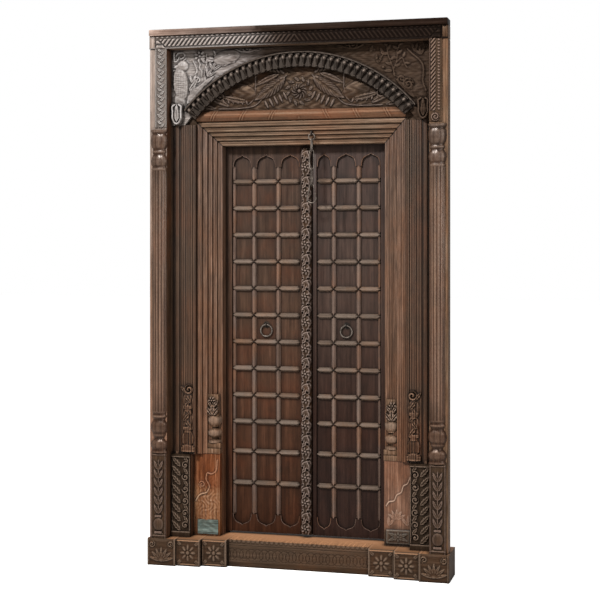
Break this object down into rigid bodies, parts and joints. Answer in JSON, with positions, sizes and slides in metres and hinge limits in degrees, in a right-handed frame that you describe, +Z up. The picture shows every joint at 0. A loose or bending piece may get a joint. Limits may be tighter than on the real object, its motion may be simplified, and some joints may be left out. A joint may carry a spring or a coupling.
{
  "type": "carved temple door",
  "caption": "Carved double-leaf wooden door with pivoted lattice leaves, stepped jambs, arched carved head, columns, threshold, pull rings and a hanging chain.",
  "frame": {"origin": "middle of the width and depth, on the underside of the sill", "axes": "+X to the viewer's right, +Y from the front into the wall, +Z up"},
  "size_m": [1.385, 0.282, 2.44],
  "materials": {
    "frame_wood": "weathered",
    "carved_wood": "weathered carving",
    "dark_wood": "soot-dark carving",
    "leaf_wood": "oiled and worn",
    "bead_wood": "rubbed",
    "sill_wood": "trodden",
    "iron": "forged, dark"
  },
  "bodies": {
    "frame": {"arch_bud_border": "carved_wood", "arch_panel": "carved_wood", "cap_board": "frame_wood", "left_arch_bracket": "carved_wood", "left_band": "frame_wood", "left_band_plinth": "frame_wood", "left_column": "frame_wood", "left_frieze_strip": "carved_wood", "left_jamb": "frame_wood", "left_jamb_plinth": "frame_wood", "left_pedestal": "frame_wood", "left_post": "frame_wood", "lintel": "frame_wood", "lintel_staple": "iron", "ribbon_bead": "bead_wood", "right_arch_bracket": "carved_wood", "right_band": "frame_wood", "right_band_plinth": "frame_wood", "right_column": "frame_wood", "right_frieze_strip": "carved_wood", "right_jamb": "frame_wood", "right_jamb_plinth": "frame_wood", "right_pedestal": "frame_wood", "right_post": "frame_wood", "rope_moulding": "carved_wood", "sill": "sill_wood", "top_rail": "frame_wood", "tympanum_panel": "dark_wood"},
    "left_leaf": {"astragal": "leaf_wood", "left_hinge_stile": "leaf_wood", "left_lattice_cross_bars": "leaf_wood", "left_lattice_uprights": "leaf_wood", "left_leaf_foot_rail": "leaf_wood", "left_leaf_ledges": "leaf_wood", "left_leaf_planks": "leaf_wood", "left_leaf_top_rail": "leaf_wood", "left_meeting_stile": "leaf_wood", "left_ring_staple": "iron"},
    "right_leaf": {"right_hinge_stile": "leaf_wood", "right_lattice_cross_bars": "leaf_wood", "right_lattice_uprights": "leaf_wood", "right_leaf_foot_rail": "leaf_wood", "right_leaf_ledges": "leaf_wood", "right_leaf_planks": "leaf_wood", "right_leaf_top_rail": "leaf_wood", "right_meeting_stile": "leaf_wood", "right_ring_staple": "iron"},
    "left_ring": {"left_pull_ring": "iron"},
    "right_ring": {"right_pull_ring": "iron"},
    "chain_ring": {"chain_ring": "iron"},
    "chain_link_upper": {"chain_link_upper": "iron"},
    "chain_link_middle": {"chain_link_middle": "iron"},
    "chain_link_lower": {"chain_link_lower": "iron"},
    "chain_hasp": {"chain_hasp": "iron"}
  },
  "joints": [
    {"name": "left_leaf_hinge", "type": "hinge", "parent": "frame", "child": "left_leaf", "pos_m": [-0.383, 0.093, 0.131], "axis": [0, 0, 1], "range_deg": [0, 90]},
    {"name": "right_leaf_hinge", "type": "hinge", "parent": "frame", "child": "right_leaf", "pos_m": [0.383, 0.093, 0.131], "axis": [0, 0, -1], "range_deg": [0, 90]},
    {"name": "left_ring_swing", "type": "hinge", "parent": "left_leaf", "child": "left_ring", "pos_m": [-0.1894, 0.079, 1.09062], "axis": [-1, 0, 0], "range_deg": [0, 110]},
    {"name": "right_ring_swing", "type": "hinge", "parent": "right_leaf", "child": "right_ring", "pos_m": [0.1894, 0.079, 1.09062], "axis": [-1, 0, 0], "range_deg": [0, 110]},
    {"name": "chain_ring_swing", "type": "hinge", "parent": "frame", "child": "chain_ring", "pos_m": [0.052, -0.02, 1.96049], "axis": [-1, 0, 0], "range_deg": [-3, 60]},
    {"name": "upper_link_swing", "type": "hinge", "parent": "chain_ring", "child": "chain_link_upper", "pos_m": [0.052, -0.02, 1.93979], "axis": [0, 1, 0], "range_deg": [-25, 25]},
    {"name": "middle_link_swing", "type": "hinge", "parent": "chain_link_upper", "child": "chain_link_middle", "pos_m": [0.052, -0.02, 1.88709], "axis": [-1, 0, 0], "range_deg": [-8, 25]},
    {"name": "lower_link_swing", "type": "hinge", "parent": "chain_link_middle", "child": "chain_link_lower", "pos_m": [0.052, -0.02, 1.80739], "axis": [0, 1, 0], "range_deg": [-25, 25]},
    {"name": "hasp_swing", "type": "hinge", "parent": "chain_link_lower", "child": "chain_hasp", "pos_m": [0.052, -0.02, 1.73269], "axis": [-1, 0, 0], "range_deg": [-12, 25]}
  ]
}
